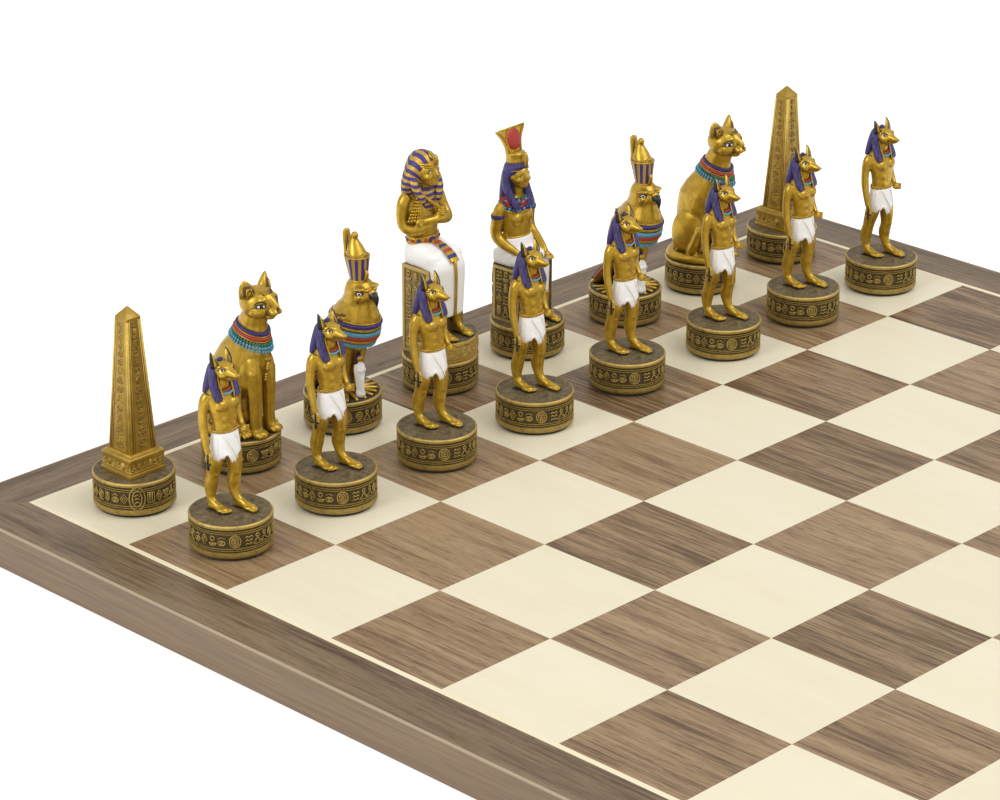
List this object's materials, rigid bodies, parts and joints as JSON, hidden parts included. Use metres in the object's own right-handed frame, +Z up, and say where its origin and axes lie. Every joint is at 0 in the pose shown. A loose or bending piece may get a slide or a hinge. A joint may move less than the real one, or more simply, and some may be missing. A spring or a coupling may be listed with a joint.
{
  "type": "chess set on a board",
  "caption": "Veneered chessboard with mitred border, and one army of painted cast men in ancient Egyptian style on round relief bases, each free to be lifted.",
  "frame": {"origin": "middle of the board's underside", "axes": "+Z up, +Y the way the army faces, +X towards the army's right"},
  "size_m": [0.4, 0.4, 0.0944],
  "materials": {
    "fibreboard": "plain medium-density fibreboard, hidden inside",
    "backing_veneer": "plain walnut backing veneer, satin",
    "walnut_veneer": "walnut squares, grey-brown open grain, satin lacquer",
    "maple_veneer": "maple squares, pale cream, satin lacquer",
    "maple_inlay": "maple stringing, satin lacquer",
    "walnut_border": "mitred walnut border, grain along each strip, satin lacquer",
    "edge_band": "walnut edge banding, plainer grain, satin lacquer",
    "painted_resin": "cast resin painted antique gold over dark bronze, details in white, indigo, red and blue",
    "felt": "green felt disc"
  },
  "bodies": {
    "board": {"board_core": "fibreboard", "backing_veneer": "backing_veneer", "maple_squares": "maple_veneer", "walnut_squares": "walnut_veneer", "inlay_rear": "maple_inlay", "inlay_right": "maple_inlay", "inlay_front": "maple_inlay", "inlay_left": "maple_inlay", "border_rear": "walnut_border", "border_right": "walnut_border", "border_front": "walnut_border", "border_left": "walnut_border", "edge_band_rear": "edge_band", "edge_band_right": "edge_band", "edge_band_front": "edge_band", "edge_band_left": "edge_band"},
    "rook_a1_body": {"rook_a1": "painted_resin", "felt_rook_a1": "felt"},
    "knight_b1_body": {"knight_b1": "painted_resin", "felt_knight_b1": "felt"},
    "bishop_c1_body": {"bishop_c1": "painted_resin", "felt_bishop_c1": "felt"},
    "queen_d1_body": {"queen_d1": "painted_resin", "felt_queen_d1": "felt"},
    "king_e1_body": {"king_e1": "painted_resin", "felt_king_e1": "felt"},
    "bishop_f1_body": {"bishop_f1": "painted_resin", "felt_bishop_f1": "felt"},
    "knight_g1_body": {"knight_g1": "painted_resin", "felt_knight_g1": "felt"},
    "rook_h1_body": {"rook_h1": "painted_resin", "felt_rook_h1": "felt"},
    "pawn_a2_body": {"pawn_a2": "painted_resin", "felt_pawn_a2": "felt"},
    "pawn_b2_body": {"pawn_b2": "painted_resin", "felt_pawn_b2": "felt"},
    "pawn_c2_body": {"pawn_c2": "painted_resin", "felt_pawn_c2": "felt"},
    "pawn_d2_body": {"pawn_d2": "painted_resin", "felt_pawn_d2": "felt"},
    "pawn_e2_body": {"pawn_e2": "painted_resin", "felt_pawn_e2": "felt"},
    "pawn_f2_body": {"pawn_f2": "painted_resin", "felt_pawn_f2": "felt"},
    "pawn_g2_body": {"pawn_g2": "painted_resin", "felt_pawn_g2": "felt"},
    "pawn_h2_body": {"pawn_h2": "painted_resin", "felt_pawn_h2": "felt"}
  },
  "joints": [
    {"name": "rook_a1_lift", "type": "slide", "parent": "board", "child": "rook_a1_body", "axis": [0, 0, 1], "range_m": [0, 0.12]},
    {"name": "knight_b1_lift", "type": "slide", "parent": "board", "child": "knight_b1_body", "axis": [0, 0, 1], "range_m": [0, 0.12]},
    {"name": "bishop_c1_lift", "type": "slide", "parent": "board", "child": "bishop_c1_body", "axis": [0, 0, 1], "range_m": [0, 0.12]},
    {"name": "queen_d1_lift", "type": "slide", "parent": "board", "child": "queen_d1_body", "axis": [0, 0, 1], "range_m": [0, 0.12]},
    {"name": "king_e1_lift", "type": "slide", "parent": "board", "child": "king_e1_body", "axis": [0, 0, 1], "range_m": [0, 0.12]},
    {"name": "bishop_f1_lift", "type": "slide", "parent": "board", "child": "bishop_f1_body", "axis": [0, 0, 1], "range_m": [0, 0.12]},
    {"name": "knight_g1_lift", "type": "slide", "parent": "board", "child": "knight_g1_body", "axis": [0, 0, 1], "range_m": [0, 0.12]},
    {"name": "rook_h1_lift", "type": "slide", "parent": "board", "child": "rook_h1_body", "axis": [0, 0, 1], "range_m": [0, 0.12]},
    {"name": "pawn_a2_lift", "type": "slide", "parent": "board", "child": "pawn_a2_body", "axis": [0, 0, 1], "range_m": [0, 0.12]},
    {"name": "pawn_b2_lift", "type": "slide", "parent": "board", "child": "pawn_b2_body", "axis": [0, 0, 1], "range_m": [0, 0.12]},
    {"name": "pawn_c2_lift", "type": "slide", "parent": "board", "child": "pawn_c2_body", "axis": [0, 0, 1], "range_m": [0, 0.12]},
    {"name": "pawn_d2_lift", "type": "slide", "parent": "board", "child": "pawn_d2_body", "axis": [0, 0, 1], "range_m": [0, 0.12]},
    {"name": "pawn_e2_lift", "type": "slide", "parent": "board", "child": "pawn_e2_body", "axis": [0, 0, 1], "range_m": [0, 0.12]},
    {"name": "pawn_f2_lift", "type": "slide", "parent": "board", "child": "pawn_f2_body", "axis": [0, 0, 1], "range_m": [0, 0.12]},
    {"name": "pawn_g2_lift", "type": "slide", "parent": "board", "child": "pawn_g2_body", "axis": [0, 0, 1], "range_m": [0, 0.12]},
    {"name": "pawn_h2_lift", "type": "slide", "parent": "board", "child": "pawn_h2_body", "axis": [0, 0, 1], "range_m": [0, 0.12]}
  ]
}
